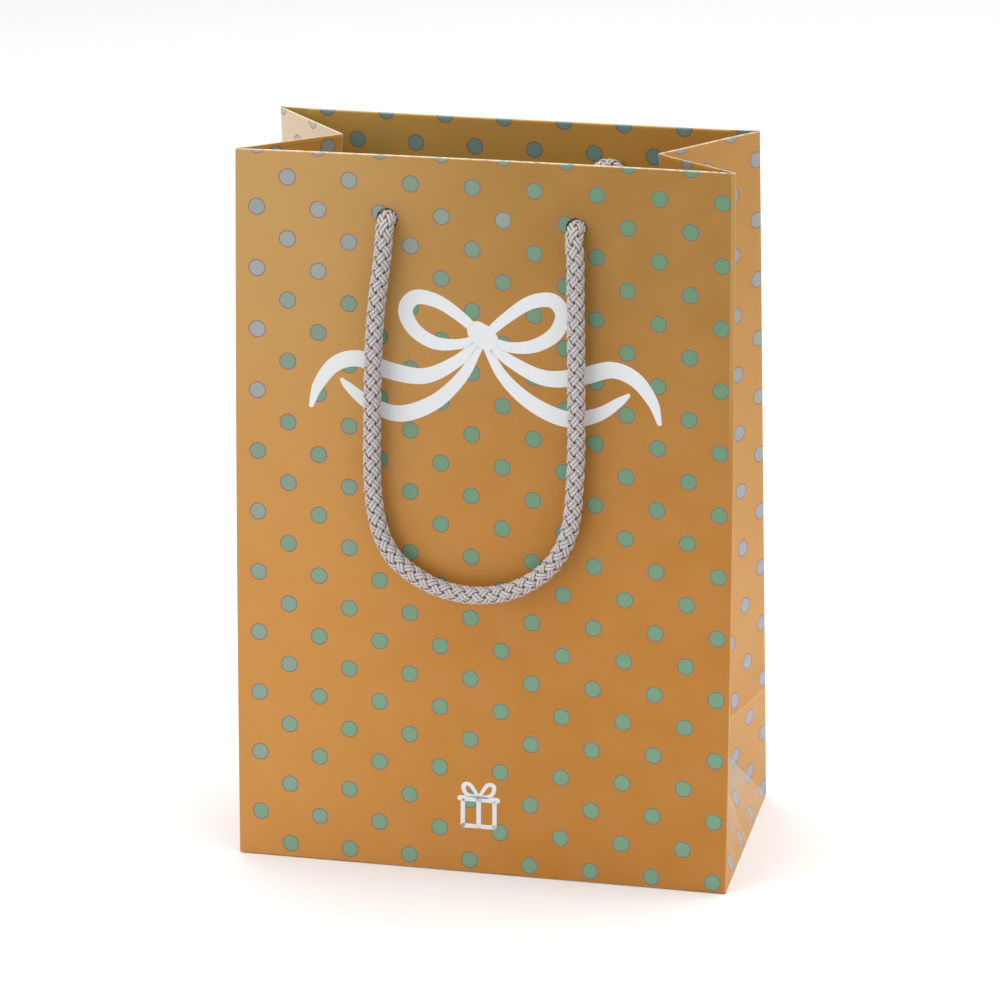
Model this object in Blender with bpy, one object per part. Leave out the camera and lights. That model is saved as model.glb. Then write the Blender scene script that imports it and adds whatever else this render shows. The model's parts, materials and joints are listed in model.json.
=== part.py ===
"""Paper gift bag with two rope handles, standing open with its mouth pinched in.

Metres, +Z up.  The origin is the centre of the bag's footprint on the table, the front
panel faces -Y, and the bag's right side is +X.  The front and back panels lean inwards from
their bottom edges, so the side gussets fold inwards along their middle crease: each gusset
half is hinged on a panel's side edge and twists a little more with height.
"""
import math

import bmesh
import bpy
from mathutils import Matrix, Vector

MM = 0.001

# The bag
WIDTH = 145 * MM
DEPTH = 72 * MM
HEIGHT = 212 * MM
MOUTH = 49.5 * MM            # front-to-back opening at the top edges
PAPER = 0.3 * MM
CARD = 0.6 * MM
GAP = 0.3 * MM               # kept between pieces that touch on the real bag

# Turned-in top and its stiffener
TURN_IN = 38 * MM
STIFFENER_DROP = 32 * MM
HEM_TO_CORNER = 9.5 * MM     # inner layers stop here so that the gusset can fold flat
HEM_TO_TOP = 0.4 * MM

# Gusset halves and the folded foot triangles
GUSSET = DEPTH / 2
GUSSET_START = 2.0 * MM      # from the panel's side edge
GUSSET_END = GUSSET - 1.4 * MM
GUSSET_TIP = 8 * MM          # the point in the bottom corner is cut off here
DIAGONAL_GAP = 0.5 * MM
TURN_IN_END = GUSSET - 1.8 * MM

# Base
FLAP_INSET = 0.4 * MM
FLAP_OVERLAP = 16 * MM
SIDE_FLAP_REACH = 32 * MM
SIDE_FLAP_INSET = 1.8 * MM
BASE_CARD_WIDTH = 139 * MM
BASE_CARD_DEPTH = 68 * MM
BASE_CARD = 0.8 * MM
WALL_FOOT = 0.7 * MM         # the walls' lower edges start here, above the outer flaps
FOOT_START = 1.5 * MM        # the foot triangles swing, so they start a little higher

# Glued side seam, inside the back panel's left edge
SEAM_TO_CORNER = 4.5 * MM
SEAM_WIDTH = 14 * MM
SEAM_FOOT = 8 * MM

# Rope handles
ROPE = 5.3 * MM
HOLE = 6.0 * MM
HOLE_SPACING = 54.6 * MM
HOLE_DROP = 18 * MM          # below the top edge, along the panel
KNOT_WIDTH = 13 * MM
KNOT_DEPTH = 11 * MM
KNOT_RISE = 3.5 * MM         # the knot sits a little above its hole
ROPE_SPACING = 11 * MM       # between the points of a handle's tube

# One handle's route in its panel's plane, hole to hole: sideways, and down from the holes
HANDLE_ROUTE = [
    (-27.3, 0.0), (-28.3, 11.5), (-29.8, 23.5), (-30.8, 38.0), (-31.2, 60.0), (-31.0, 78.0),
    (-29.4, 89.0), (-26.4, 96.5), (-22.0, 101.4), (-14.8, 105.8), (-8.3, 107.8), (-1.2, 108.4),
    (6.5, 107.3), (13.5, 104.2), (19.7, 99.3), (24.2, 92.6), (26.8, 84.0), (27.9, 66.0),
    (27.8, 40.0), (27.5, 18.0), (27.3, 0.0),
]

LEAN = math.atan2((DEPTH - MOUTH) / 2, HEIGHT)
SLOPE = HEIGHT / math.cos(LEAN)          # the panels' length, bottom edge to top edge


def fold_angle(up):
    """How far a gusset half is folded in at this distance up the panel's side edge."""
    up = max(up, GUSSET)
    return math.acos((GUSSET - up * math.sin(LEAN)) / (GUSSET * math.cos(LEAN)))


FOOT_LEAN = fold_angle(GUSSET)


def material(name, colour, roughness):
    made = bpy.data.materials.new(name)
    made.use_nodes = True
    shader = made.node_tree.nodes["Principled BSDF"]
    shader.inputs["Base Color"].default_value = (*colour, 1)
    shader.inputs["Roughness"].default_value = roughness
    shader.inputs["Metallic"].default_value = 0
    return made


def make_materials():
    return {
        "printed": material("printed_paper", (0.80, 0.32, 0.11), 0.38),
        "hem": material("printed_turn_in", (0.62, 0.30, 0.13), 0.42),
        "white": material("plain_paper", (0.86, 0.85, 0.82), 0.7),
        "card": material("greyboard", (0.52, 0.50, 0.46), 0.85),
        "rope": material("rope", (0.80, 0.77, 0.72), 0.75),
    }


def wall_frame(name, facing, distance, lean):
    """An empty on a wall's bottom edge: local X along it, Y inwards and Z up the wall."""
    empty = bpy.data.objects.new(name, None)
    empty.location = Matrix.Rotation(facing, 3, "Z") @ Vector((0, -distance, 0))
    empty.rotation_euler = (-lean, 0, facing)
    bpy.context.collection.objects.link(empty)
    return empty


def hinge_frame(name, parent, place):
    """An empty on a joint's axis, carried by the part it is hinged to."""
    empty = bpy.data.objects.new(name, None)
    empty.location = place
    empty.parent = parent
    bpy.context.collection.objects.link(empty)
    return empty


def add_object(name, data, paint, parent):
    made = bpy.data.objects.new(name, data)
    data.materials.append(paint)
    made.parent = parent
    bpy.context.collection.objects.link(made)
    return made


def mesh_from(name, shape):
    bmesh.ops.recalc_face_normals(shape, faces=shape.faces)
    mesh = bpy.data.meshes.new(name)
    shape.to_mesh(mesh)
    shape.free()
    return mesh


def prism(name, corners, push, paint, parent):
    """A closed solid: a flat outline pushed along one vector."""
    shape = bmesh.new()
    face = shape.faces.new([shape.verts.new(corner) for corner in corners])
    pushed = bmesh.ops.extrude_face_region(shape, geom=[face])
    moved = [item for item in pushed["geom"] if isinstance(item, bmesh.types.BMVert)]
    bmesh.ops.translate(shape, vec=push, verts=moved)
    return add_object(name, mesh_from(name, shape), paint, parent)


def sheet(name, outline, depth, thickness, paint, parent):
    """A flat sheet in a wall's frame, from the given depth behind the wall's outer face."""
    corners = [(x, depth, z) for x, z in outline]
    return prism(name, corners, (0, thickness, 0), paint, parent)


def rectangle(left, right, low, high):
    return [(left, low), (right, low), (right, high), (left, high)]


def grid_sheet(name, rows, thickness, paint, parent):
    """A closed sheet of even thickness over a grid of (point, normal) pairs."""
    shape = bmesh.new()
    layers = []
    for side in (-0.5, 0.5):
        layers.append([[shape.verts.new(point + normal * side * thickness)
                        for point, normal in row] for row in rows])
    near, far = layers
    tall = len(rows) - 1
    wide = len(rows[0]) - 1
    for layer in layers:
        for i in range(tall):
            for j in range(wide):
                shape.faces.new((layer[i][j], layer[i][j + 1], layer[i + 1][j + 1], layer[i + 1][j]))
    rim = [(0, j) for j in range(wide)] + [(i, wide) for i in range(tall)]
    rim += [(tall, j) for j in range(wide, 0, -1)] + [(i, 0) for i in range(tall, 0, -1)]
    for here, there in zip(rim, rim[1:] + rim[:1]):
        shape.faces.new((near[here[0]][here[1]], near[there[0]][there[1]],
                         far[there[0]][there[1]], far[here[0]][here[1]]))
    return add_object(name, mesh_from(name, shape), paint, parent)


def turned(name, profile, paint, parent, place, sides=20):
    """A closed solid of rings across local Y, from (radius, y, rise) points.

    The first and last points have no radius, and rise lifts a ring's centre along local Z.
    """
    shape = bmesh.new()
    tips = [shape.verts.new((0, y, rise)) for _, y, rise in (profile[0], profile[-1])]
    rings = []
    for radius, y, rise in profile[1:-1]:
        rings.append([shape.verts.new((radius * math.cos(2 * math.pi * k / sides), y,
                                       rise + radius * math.sin(2 * math.pi * k / sides)))
                      for k in range(sides)])
    for k in range(sides):
        following = (k + 1) % sides
        shape.faces.new((tips[0], rings[0][k], rings[0][following]))
        shape.faces.new((tips[1], rings[-1][following], rings[-1][k]))
        for lower, upper in zip(rings, rings[1:]):
            shape.faces.new((lower[k], upper[k], upper[following], lower[following]))
    made = add_object(name, mesh_from(name, shape), paint, parent)
    made.location = place
    made.data.shade_smooth()
    return made


def smooth_route(points, spacing):
    """Points at about the given spacing along a smooth curve through the route's points."""
    padded = [points[0] * 2 - points[1]] + points + [points[-1] * 2 - points[-2]]
    fine = [points[0]]
    for a, b, c, d in zip(padded, padded[1:], padded[2:], padded[3:]):
        for step in range(1, 41):
            t = step / 40
            fine.append(0.5 * (2 * b + (c - a) * t + (2 * a - 5 * b + 4 * c - d) * t ** 2
                               + (3 * b - a - 3 * c + d) * t ** 3))
    length = sum((after - before).length for before, after in zip(fine, fine[1:]))
    count = round(length / spacing)
    kept = [fine[0]]
    travelled = 0
    for before, after in zip(fine, fine[1:]):
        travelled += (after - before).length
        if travelled >= len(kept) * length / count and len(kept) < count:
            kept.append(after)
    return kept + [fine[-1]]


def rope_tube(name, points, paint, parent):
    """A plain round tube along the points, closed at both ends."""
    curve = bpy.data.curves.new(name, "CURVE")
    curve.dimensions = "3D"
    curve.bevel_depth = ROPE / 2
    curve.bevel_resolution = 3
    curve.use_fill_caps = True
    spline = curve.splines.new("POLY")
    spline.points.add(len(points) - 1)
    for target, point in zip(spline.points, points):
        target.co = (*point, 1)
    return add_object(name, curve, paint, parent)


def cut_holes(pieces, panel_name, frame):
    """Round holes for the rope, through every layer of a panel's top."""
    for side in (-1, 1):
        shape = bmesh.new()
        bmesh.ops.create_cone(shape, cap_ends=True, segments=24, radius1=HOLE / 2,
                              radius2=HOLE / 2, depth=20 * MM,
                              matrix=Matrix.Rotation(math.pi / 2, 4, "X"))
        name = f"{panel_name}_hole_cutter_{'left' if side < 0 else 'right'}"
        mesh = bpy.data.meshes.new(name)
        shape.to_mesh(mesh)
        shape.free()
        cutter = bpy.data.objects.new(name, mesh)
        cutter.location = (side * HOLE_SPACING / 2, 0, SLOPE - HOLE_DROP)
        cutter.parent = frame
        cutter.hide_render = True
        cutter.display_type = "WIRE"
        bpy.context.collection.objects.link(cutter)
        for piece in pieces:
            cut = piece.modifiers.new(name, "BOOLEAN")
            cut.operation = "DIFFERENCE"
            cut.solver = "EXACT"
            cut.object = cutter


def make_panel(face, facing, paints):
    """A front or back panel with its card, turn-in, knots and handle."""
    frame = wall_frame(f"{face}_hinge", facing, DEPTH / 2, LEAN)
    half = WIDTH / 2
    panel = sheet(f"{face}_panel", rectangle(-half, half, WALL_FOOT, SLOPE), 0, PAPER,
                  paints["printed"], frame)
    inner = half - HEM_TO_CORNER
    card_depth = PAPER + GAP
    card = sheet(f"{face}_stiffener_card",
                 rectangle(-inner, inner, SLOPE - STIFFENER_DROP, SLOPE - 2 * HEM_TO_TOP),
                 card_depth, CARD, paints["card"], frame)
    hem_depth = card_depth + CARD + GAP
    hem = sheet(f"{face}_turn_in", rectangle(-inner, inner, SLOPE - TURN_IN, SLOPE - HEM_TO_TOP),
                hem_depth, PAPER, paints["hem"], frame)
    cut_holes([panel, card, hem], face, frame)
    for side in (-1, 1):
        # Seen from the front of the bag, whichever panel the knot is on
        seen = side if facing == 0 else -side
        make_knot(f"{face}_{'left' if seen < 0 else 'right'}_knot", side,
                  hem_depth + PAPER + GAP, paints["rope"], frame)
    make_handle(face, paints["rope"], frame)
    return frame


def make_knot(name, side, depth, paint, frame):
    """A rope's knotted end inside the panel, with the stretch that fills the hole."""
    rope = ROPE / 2
    middle = depth + KNOT_DEPTH / 2
    profile = [(0, 0, 0), (rope, 0, 0), (rope, depth, 0)]
    steps = 10
    for step in range(2, steps):
        angle = math.pi * step / steps
        profile.append((KNOT_WIDTH / 2 * math.sin(angle),
                        middle - KNOT_DEPTH / 2 * math.cos(angle), KNOT_RISE))
    profile.append((0, depth + KNOT_DEPTH, KNOT_RISE))
    turned(name, profile, paint, frame, (side * HOLE_SPACING / 2, 0, SLOPE - HOLE_DROP))


def make_handle(face, paint, frame):
    """The rope loop outside the panel, hanging from the axis through its two holes."""
    hang = hinge_frame(f"{face}_handle_hinge", frame, (0, -ROPE / 2 - GAP, SLOPE - HOLE_DROP))
    route = [Vector((x * MM, 0, -down * MM)) for x, down in HANDLE_ROUTE]
    rope_tube(f"{face}_handle_cord", smooth_route(route, ROPE_SPACING), paint, hang)


def gusset_rows(side, ups, start, end_at, lift, columns):
    """Grid of points on a gusset half, in the frame of the panel edge it is hinged on."""
    rows = []
    for up in ups:
        angle = fold_angle(up)
        across = Vector((-side * math.sin(angle), math.cos(angle), 0))
        inward = Vector((-side * math.cos(angle), -math.sin(angle), 0))
        rows.append([])
        for column in range(columns + 1):
            out = start + (end_at(up) - start) * column / columns
            rows[-1].append((across * out + inward * lift + Vector((0, 0, up)), inward))
    return rows


def make_gusset_half(face, side, panel_frame, paints):
    """One half of a side gusset and its turned-in top."""
    right = (side > 0) == (face == "front")
    name = f"{'right' if right else 'left'}_gusset_{'front' if face == 'front' else 'rear'}"
    frame = hinge_frame(f"{name}_hinge", panel_frame, (side * WIDTH / 2, 0, 0))
    low_ups = [GUSSET_TIP + (GUSSET - GUSSET_TIP) * k / 4 for k in range(4)]
    high_ups = [GUSSET + (SLOPE - GUSSET) * k / 14 for k in range(15)]
    rows = gusset_rows(side, low_ups + high_ups, GUSSET_START,
                       lambda up: min(up - DIAGONAL_GAP, GUSSET_END), 0, 4)
    grid_sheet(name, rows, PAPER, paints["printed"], frame)
    hem_ups = [SLOPE - TURN_IN + (TURN_IN - HEM_TO_TOP) * k / 4 for k in range(5)]
    rows = gusset_rows(side, hem_ups, HEM_TO_CORNER, lambda up: TURN_IN_END, PAPER + GAP, 4)
    grid_sheet(f"{name}_turn_in", rows, PAPER, paints["hem"], frame)


def make_foot_triangle(name, facing, paint):
    """The triangle between a gusset's two diagonal creases, hinged on the base's side edge."""
    frame = wall_frame(f"{name}_hinge", facing, WIDTH / 2, FOOT_LEAN)
    low = FOOT_START
    half = GUSSET - low - 2 * DIAGONAL_GAP
    outline = [(-half, low), (half, low), (0, low + half)]
    sheet(name, outline, -PAPER / 2, PAPER, paint, frame)


def make_base(paints):
    """Outer flaps that overlap, side flaps under them, and the loose base card on top."""
    half_x = WIDTH / 2 - FLAP_INSET
    half_y = DEPTH / 2 - FLAP_INSET
    lap = FLAP_OVERLAP / 2
    raised = PAPER + GAP
    along = (2 * half_x, 0, 0)
    front = [(-half_x, -half_y, 0), (-half_x, lap, 0), (-half_x, lap, PAPER),
             (-half_x, -half_y, PAPER)]
    prism("base_flap_front", front, along, paints["printed"], None)
    step = 2 * raised
    rear = [(half_y, 0), (half_y, PAPER), (lap + step + PAPER, PAPER), (lap + raised, raised + PAPER),
            (-lap, raised + PAPER), (-lap, raised), (lap + GAP, raised), (lap + step, 0)]
    prism("base_flap_rear", [(-half_x, y, z) for y, z in rear], along, paints["printed"], None)
    side_level = raised + PAPER + GAP
    for side, word in ((-1, "left"), (1, "right")):
        outer = side * (WIDTH / 2 - SIDE_FLAP_INSET)
        inner = side * (WIDTH / 2 - SIDE_FLAP_REACH)
        half_y = DEPTH / 2 - SIDE_FLAP_INSET
        taper = half_y - SIDE_FLAP_REACH / 2
        outline = [(outer, -half_y, side_level), (outer, half_y, side_level),
                   (inner, taper, side_level), (inner, -taper, side_level)]
        prism(f"base_flap_{word}", outline, (0, 0, PAPER), paints["white"], None)
    card_level = side_level + PAPER + GAP
    half_x = BASE_CARD_WIDTH / 2
    half_y = BASE_CARD_DEPTH / 2
    outline = [(-half_x, -half_y, card_level), (half_x, -half_y, card_level),
               (half_x, half_y, card_level), (-half_x, half_y, card_level)]
    prism("base_card", outline, (0, 0, BASE_CARD), paints["white"], None)


def make_side_seam(back_frame, paint):
    """The gusset's glue flap, stuck inside the back panel along the bag's left edge."""
    outer = WIDTH / 2 - SEAM_TO_CORNER
    outline = rectangle(outer - SEAM_WIDTH, outer, SEAM_FOOT, SLOPE - TURN_IN - 2 * GAP)
    sheet("side_seam_flap", outline, PAPER + GAP, PAPER, paint, back_frame)


def main():
    for old in list(bpy.data.objects):
        bpy.data.objects.remove(old, do_unlink=True)
    paints = make_materials()
    make_base(paints)
    for face, facing in (("front", 0), ("back", math.pi)):
        frame = make_panel(face, facing, paints)
        for side in (-1, 1):
            make_gusset_half(face, side, frame, paints)
        if face == "back":
            make_side_seam(frame, paints["white"])
    make_foot_triangle("right_foot_triangle", math.pi / 2, paints["printed"])
    make_foot_triangle("left_foot_triangle", -math.pi / 2, paints["printed"])


main()
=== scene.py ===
"""A paper gift bag with braided rope handles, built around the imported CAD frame."""

import json
import math
from types import SimpleNamespace

import bpy
import numpy as np
from mathutils import Matrix, Vector, noise


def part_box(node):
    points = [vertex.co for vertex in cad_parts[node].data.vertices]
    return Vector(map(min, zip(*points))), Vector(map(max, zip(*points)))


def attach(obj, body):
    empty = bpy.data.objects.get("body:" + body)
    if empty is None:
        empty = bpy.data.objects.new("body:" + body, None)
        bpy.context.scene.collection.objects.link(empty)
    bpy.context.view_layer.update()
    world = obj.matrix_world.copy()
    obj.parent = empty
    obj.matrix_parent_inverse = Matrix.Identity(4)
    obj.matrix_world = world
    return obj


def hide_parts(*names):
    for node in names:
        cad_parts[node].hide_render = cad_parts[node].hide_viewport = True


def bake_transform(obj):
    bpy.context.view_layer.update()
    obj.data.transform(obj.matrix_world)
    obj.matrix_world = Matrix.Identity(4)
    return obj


MM = 0.001
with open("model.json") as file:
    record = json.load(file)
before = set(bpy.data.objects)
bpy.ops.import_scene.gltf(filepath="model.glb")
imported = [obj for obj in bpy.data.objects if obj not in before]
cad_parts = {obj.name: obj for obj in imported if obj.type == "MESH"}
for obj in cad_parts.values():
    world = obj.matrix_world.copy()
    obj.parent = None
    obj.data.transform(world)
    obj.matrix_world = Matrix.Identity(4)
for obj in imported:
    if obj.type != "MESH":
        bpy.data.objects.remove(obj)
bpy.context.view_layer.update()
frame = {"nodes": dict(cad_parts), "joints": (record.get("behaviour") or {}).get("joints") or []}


def joint(name):
    return next(found for found in frame["joints"] if found["name"] == name)


# Sizes of the frame
corner = joint("right_front_corner_crease")
HALF = corner["pos_m"][0]                 # half of the bag's width
GUSSET = -corner["pos_m"][1]              # half of its depth, at the foot
LEAN = math.atan2(corner["axis"][1], corner["axis"][2])
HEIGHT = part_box("front_panel")[1].z
SLOPE = HEIGHT / math.cos(LEAN)           # the panels' length, bottom edge to top edge

# Paper
PAPER = 0.25 * MM
FOLD = 0.3 * MM               # outer radius of a fold
LIP = 1.0 * MM                # how far the outer sheet runs down inside the mouth
TURN_IN = 38 * MM
TURN_IN_PAPER = 0.2 * MM
CARD_DROP = 32 * MM
HOLLOW = {"front": 1.5 * MM, "back": 0.4 * MM}   # how far a panel's middle sinks in
HOLE = 6.3 * MM

# Rope
ROPE = 5.3 * MM
ROPE_SPACING = 0.55 * MM      # between the rings of a strand
STRANDS = 4                   # in each direction
YARNS = 2                     # side by side in a strand
LEAD = 16.2 * MM              # rope length for one turn of a strand
YARN_ANGLE = 0.54             # between two yarns of a strand, in radians round the rope
YARN_HALF = 0.46 * MM         # half of a yarn's width
YARN_THICK = 0.37 * MM        # half of its thickness
YARN_SWING = 0.46 * MM        # how far a strand rises and dives as it passes over and under
CORE_RADIUS = 1.42 * MM


def wall(facing, distance, lean):
    """Frame on a wall's bottom edge: X along it, Y inwards and Z up the wall."""
    return (Matrix.Rotation(facing, 4, "Z") @ Matrix.Translation((0, -distance, 0))
            @ Matrix.Rotation(-lean, 4, "X"))


PANELS = {"front": wall(0, GUSSET, LEAN), "back": wall(math.pi, GUSSET, LEAN)}
pivot = PANELS["front"].inverted() @ Vector(joint("front_handle_swing")["pos_m"])
HOLE_UP = pivot.z
ROPE_OUT = -pivot.y

# The route of a handle, sideways and down from the middle between its holes, in mm
HANDLE_ROUTE = [
    (-27.3, 0), (-28.3, 11.5), (-29.8, 23.5), (-30.8, 38), (-31.2, 60), (-31.0, 78), (-29.4, 89),
    (-26.4, 96.5), (-22.0, 101.4), (-14.8, 105.8), (-8.3, 107.8), (-1.2, 108.4), (6.5, 107.3),
    (13.5, 104.2), (19.7, 99.3), (24.2, 92.6), (26.8, 84), (27.9, 66), (27.8, 40), (27.5, 18),
    (27.3, 0)]
HOLE_SIDE = 27.3 * MM
ASIDE = 0.40 * MM             # the rope lies against one side of its hole
# Its bend out of the hole, inwards and up from the hole's middle, in mm
HOLE_BEND = [(0.9, -0.25), (-0.3, -0.4), (-1.35, -1.0), (-2.2, -2.2), (-2.75, -3.8)]


def smooth(t):
    t = min(max(t, 0.0), 1.0)
    return t * t * (3 - 2 * t)


def fold_angle(up):
    """How far a gusset half leans in from square at a height up the panel's edge."""
    up = max(up, GUSSET)
    return math.acos((GUSSET - up * math.sin(LEAN)) / (GUSSET * math.cos(LEAN)))


# A paper bag never stands quite square: how far each corner of its block is off, in mm
SKEW = {
    (0, 0, 0): (-0.72, -0.34, 0), (1, 0, 0): (0.75, -0.71, 0),
    (0, 1, 0): (-0.02, 0, 0), (1, 1, 0): (-0.06, 0.63, 0),
    (0, 0, 1): (0.8, 0.48, 0.38), (1, 0, 1): (0.40, 0.15, 0.59),
    (0, 1, 1): (0.54, 0.15, -0.16), (1, 1, 1): (-1.31, -0.36, -0.3)}
BULGE_LEFT = -0.35 * MM       # how far the front's side folds bow out at half height
BULGE_RIGHT = 0.45 * MM


def skewed(point):
    """A point of the square bag, moved as the standing bag is out of square."""
    x, y, z = point
    deep = GUSSET - max(z, 0.0) * math.tan(LEAN)
    shares = (min(max((x / HALF + 1) / 2, 0), 1), min(max((y / deep + 1) / 2, 0), 1), z / HEIGHT)
    moved = Vector(point)
    for ends, shift in SKEW.items():
        weight = math.prod(share if end else 1 - share for end, share in zip(ends, shares))
        moved += Vector(shift) * (weight * MM)
    across, back, high = shares
    bow = BULGE_LEFT * (1 - across) + BULGE_RIGHT * across
    moved.x += bow * (1 - back) * math.sin(math.pi * min(max(high, 0), 1))
    return moved


# ------------ camera

def make_camera():
    data = bpy.data.cameras.new("camera")
    data.lens = 162
    data.sensor_width = 36
    data.clip_start = 0.05
    data.clip_end = 20
    camera = bpy.data.objects.new("camera", data)
    right = Vector((0.97442, 0.22447, -0.01101))
    up = Vector((-0.06584, 0.33197, 0.94099))
    forward = Vector((-0.21487, 0.91619, -0.33826))
    turn = Matrix((right, up, -forward)).transposed()
    camera.matrix_world = Matrix.Translation((0.2817, -1.20623, 0.54833)) @ turn.to_4x4()
    bpy.context.collection.objects.link(camera)
    bpy.context.scene.camera = camera


make_camera()


# ------------ materials

class Paint:
    """A material and short calls that add nodes to it."""

    def __init__(self, name, roughness, **constants):
        self.material = bpy.data.materials.new(name)
        self.material.use_nodes = True
        self.nodes = self.material.node_tree.nodes
        self.links = self.material.node_tree.links
        self.shader = next(n for n in self.nodes if n.type == "BSDF_PRINCIPLED")
        self.shader.inputs["Roughness"].default_value = roughness
        for socket, value in constants.items():
            self.shader.inputs[socket.replace("_", " ")].default_value = value

    def put(self, socket, value):
        if isinstance(value, bpy.types.NodeSocket):
            self.links.new(value, socket)
        else:
            socket.default_value = value

    def math(self, operation, *values, clamp=False):
        node = self.nodes.new("ShaderNodeMath")
        node.operation = operation
        node.use_clamp = clamp
        for socket, value in zip(node.inputs, values):
            self.put(socket, value)
        return node.outputs[0]

    def times(self, first, second):
        return self.math("MULTIPLY", first, second)

    def gap(self, first, second):
        return self.math("ABSOLUTE", self.math("SUBTRACT", first, second))

    def uv(self, layer="UVMap"):
        node = self.nodes.new("ShaderNodeUVMap")
        node.uv_map = layer
        parts = self.nodes.new("ShaderNodeSeparateXYZ")
        self.links.new(node.outputs[0], parts.inputs[0])
        return node.outputs[0], parts.outputs[0], parts.outputs[1]

    def place(self):
        return self.nodes.new("ShaderNodeTexCoord").outputs["Object"]

    def ramp(self, value, low, high, start=0.0, end=1.0):
        node = self.nodes.new("ShaderNodeMapRange")
        node.interpolation_type = "SMOOTHSTEP"
        for socket, number in zip(node.inputs, (value, low, high, start, end)):
            self.put(socket, number)
        return node.outputs[0]

    def noise(self, vector, scale, detail=2.0, stretch=None):
        if stretch:
            node = self.nodes.new("ShaderNodeMapping")
            node.inputs["Scale"].default_value = stretch
            self.links.new(vector, node.inputs["Vector"])
            vector = node.outputs[0]
        node = self.nodes.new("ShaderNodeTexNoise")
        node.inputs["Scale"].default_value = scale
        node.inputs["Detail"].default_value = detail
        self.links.new(vector, node.inputs["Vector"])
        return node.outputs["Fac"]

    def mix(self, factor, first, second):
        node = self.nodes.new("ShaderNodeMix")
        node.data_type = "RGBA"
        for name, value in (("Factor_Float", factor), ("A_Color", first), ("B_Color", second)):
            socket = next(s for s in node.inputs if s.identifier == name)
            self.put(socket, value if not isinstance(value, tuple) else (*value, 1))
        return next(s for s in node.outputs if s.identifier == "Result_Color")

    def color(self, value):
        self.put(self.shader.inputs["Base Color"], value)

    def roughness(self, value):
        self.put(self.shader.inputs["Roughness"], value)

    def bump(self, height, distance, strength=1.0):
        node = self.nodes.new("ShaderNodeBump")
        node.inputs["Distance"].default_value = distance
        node.inputs["Strength"].default_value = strength
        self.links.new(height, node.inputs["Height"])
        if self.shader.inputs["Normal"].is_linked:
            before = self.shader.inputs["Normal"].links[0].from_socket
            self.links.new(before, node.inputs["Normal"])
        self.links.new(node.outputs[0], self.shader.inputs["Normal"])


DOT_STEP = 8.945 * MM         # half of the dot pattern's repeat, across
DOT_STEP_DOWN = 9.105 * MM    # and down
DOT_TILT = 0.0081             # the print runs slightly downhill
DOT_RADIUS = 2.47 * MM
DOT_PLACE = (-56.85 * MM, 7.03 * MM)   # one dot's middle, from the panel's middle and top
PRINT_MIDDLE = 104.5 * MM     # the print is stretched a little away from this level
PRINT_STRETCH = 1.31 * MM
SIDE_PRINT_UP = 0.33 * MM     # how far the gussets' print lies above the front's
BACK_PRINT = (0.4 * MM, 1.35 * MM)

ORANGE = (0.500, 0.194, 0.013)
# Painted light: the paler left colours are a painted reflection at the left edge, the duller ones
# painted shade at the top of the sheet
ORANGE_LEFT_GLARE = (0.605, 0.265, 0.044)
ORANGE_TOP_SHADE = (0.376, 0.186, 0.027)
ORANGE_TOP_SHADE_LEFT_GLARE = (0.535, 0.318, 0.095)
# Painted light: a lit copy of the orange for the gussets, duller at the top by painted shade
SIDE_ORANGE_LIT = (0.59, 0.290, 0.062)
SIDE_NEAR_FOLD_LIT = (0.575, 0.250, 0.038)
SIDE_LIT_TOP_SHADE = (0.50, 0.25, 0.046)
# Painted light: a lit copy of the orange for the turned-in print, different at left and right
INSIDE_LEFT_LIT = (0.56, 0.36, 0.085)
INSIDE_RIGHT_LIT = (0.61, 0.31, 0.055)
PALE_ORANGE = (0.66, 0.36, 0.14)
# Painted reflection: a pale cream on the left rear gusset
GLARE_CREAM = (0.72, 0.60, 0.45)
# Painted reflection of the floor on the foot triangles
FOOT_FLOOR_GLARE = (0.40, 0.355, 0.275)
# Painted shade: the green ink is darker towards the top
GREEN_TOP_SHADE = (0.152, 0.290, 0.160)
GREEN_LOW = (0.198, 0.360, 0.222)
# Painted reflection: the lilac greys of the dots, at the left and on the gussets
LILAC_GLARE = (0.39, 0.375, 0.385)
SIDE_LILAC_GLARE = (0.43, 0.40, 0.50)
# Painted light: a lit copy of the ink for the back's inside
INSIDE_INK_LIT = (0.205, 0.345, 0.31)
RING = (0.11, 0.10, 0.15)
HALO = (0.62, 0.17, 0.06)
# Pale folds: real wear, and also a painted highlight along them
WORN_AND_HIGHLIGHT = (0.83, 0.68, 0.50)
# Painted highlight along the corner folds
FOLD_HIGHLIGHT = (0.62, 0.45, 0.28)
BENT_AWAY = (0.55, 0.20, 0.025)
GROUND_GRAIN = (0.42, 0.16, 0.035)
INK_GRAIN = (0.11, 0.24, 0.13)
# Painted highlight and painted shade of the second line beside the right fold
BAND_HIGHLIGHT = (0.72, 0.42, 0.16)
GROOVE_SHADE = (0.34, 0.15, 0.03)
SECOND_LINE = HALF - 1.9 * MM     # a faint line beside the right fold
HIND = HALF + 2 * GUSSET          # where the gussets end and the back begins, on the flat sheet


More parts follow.
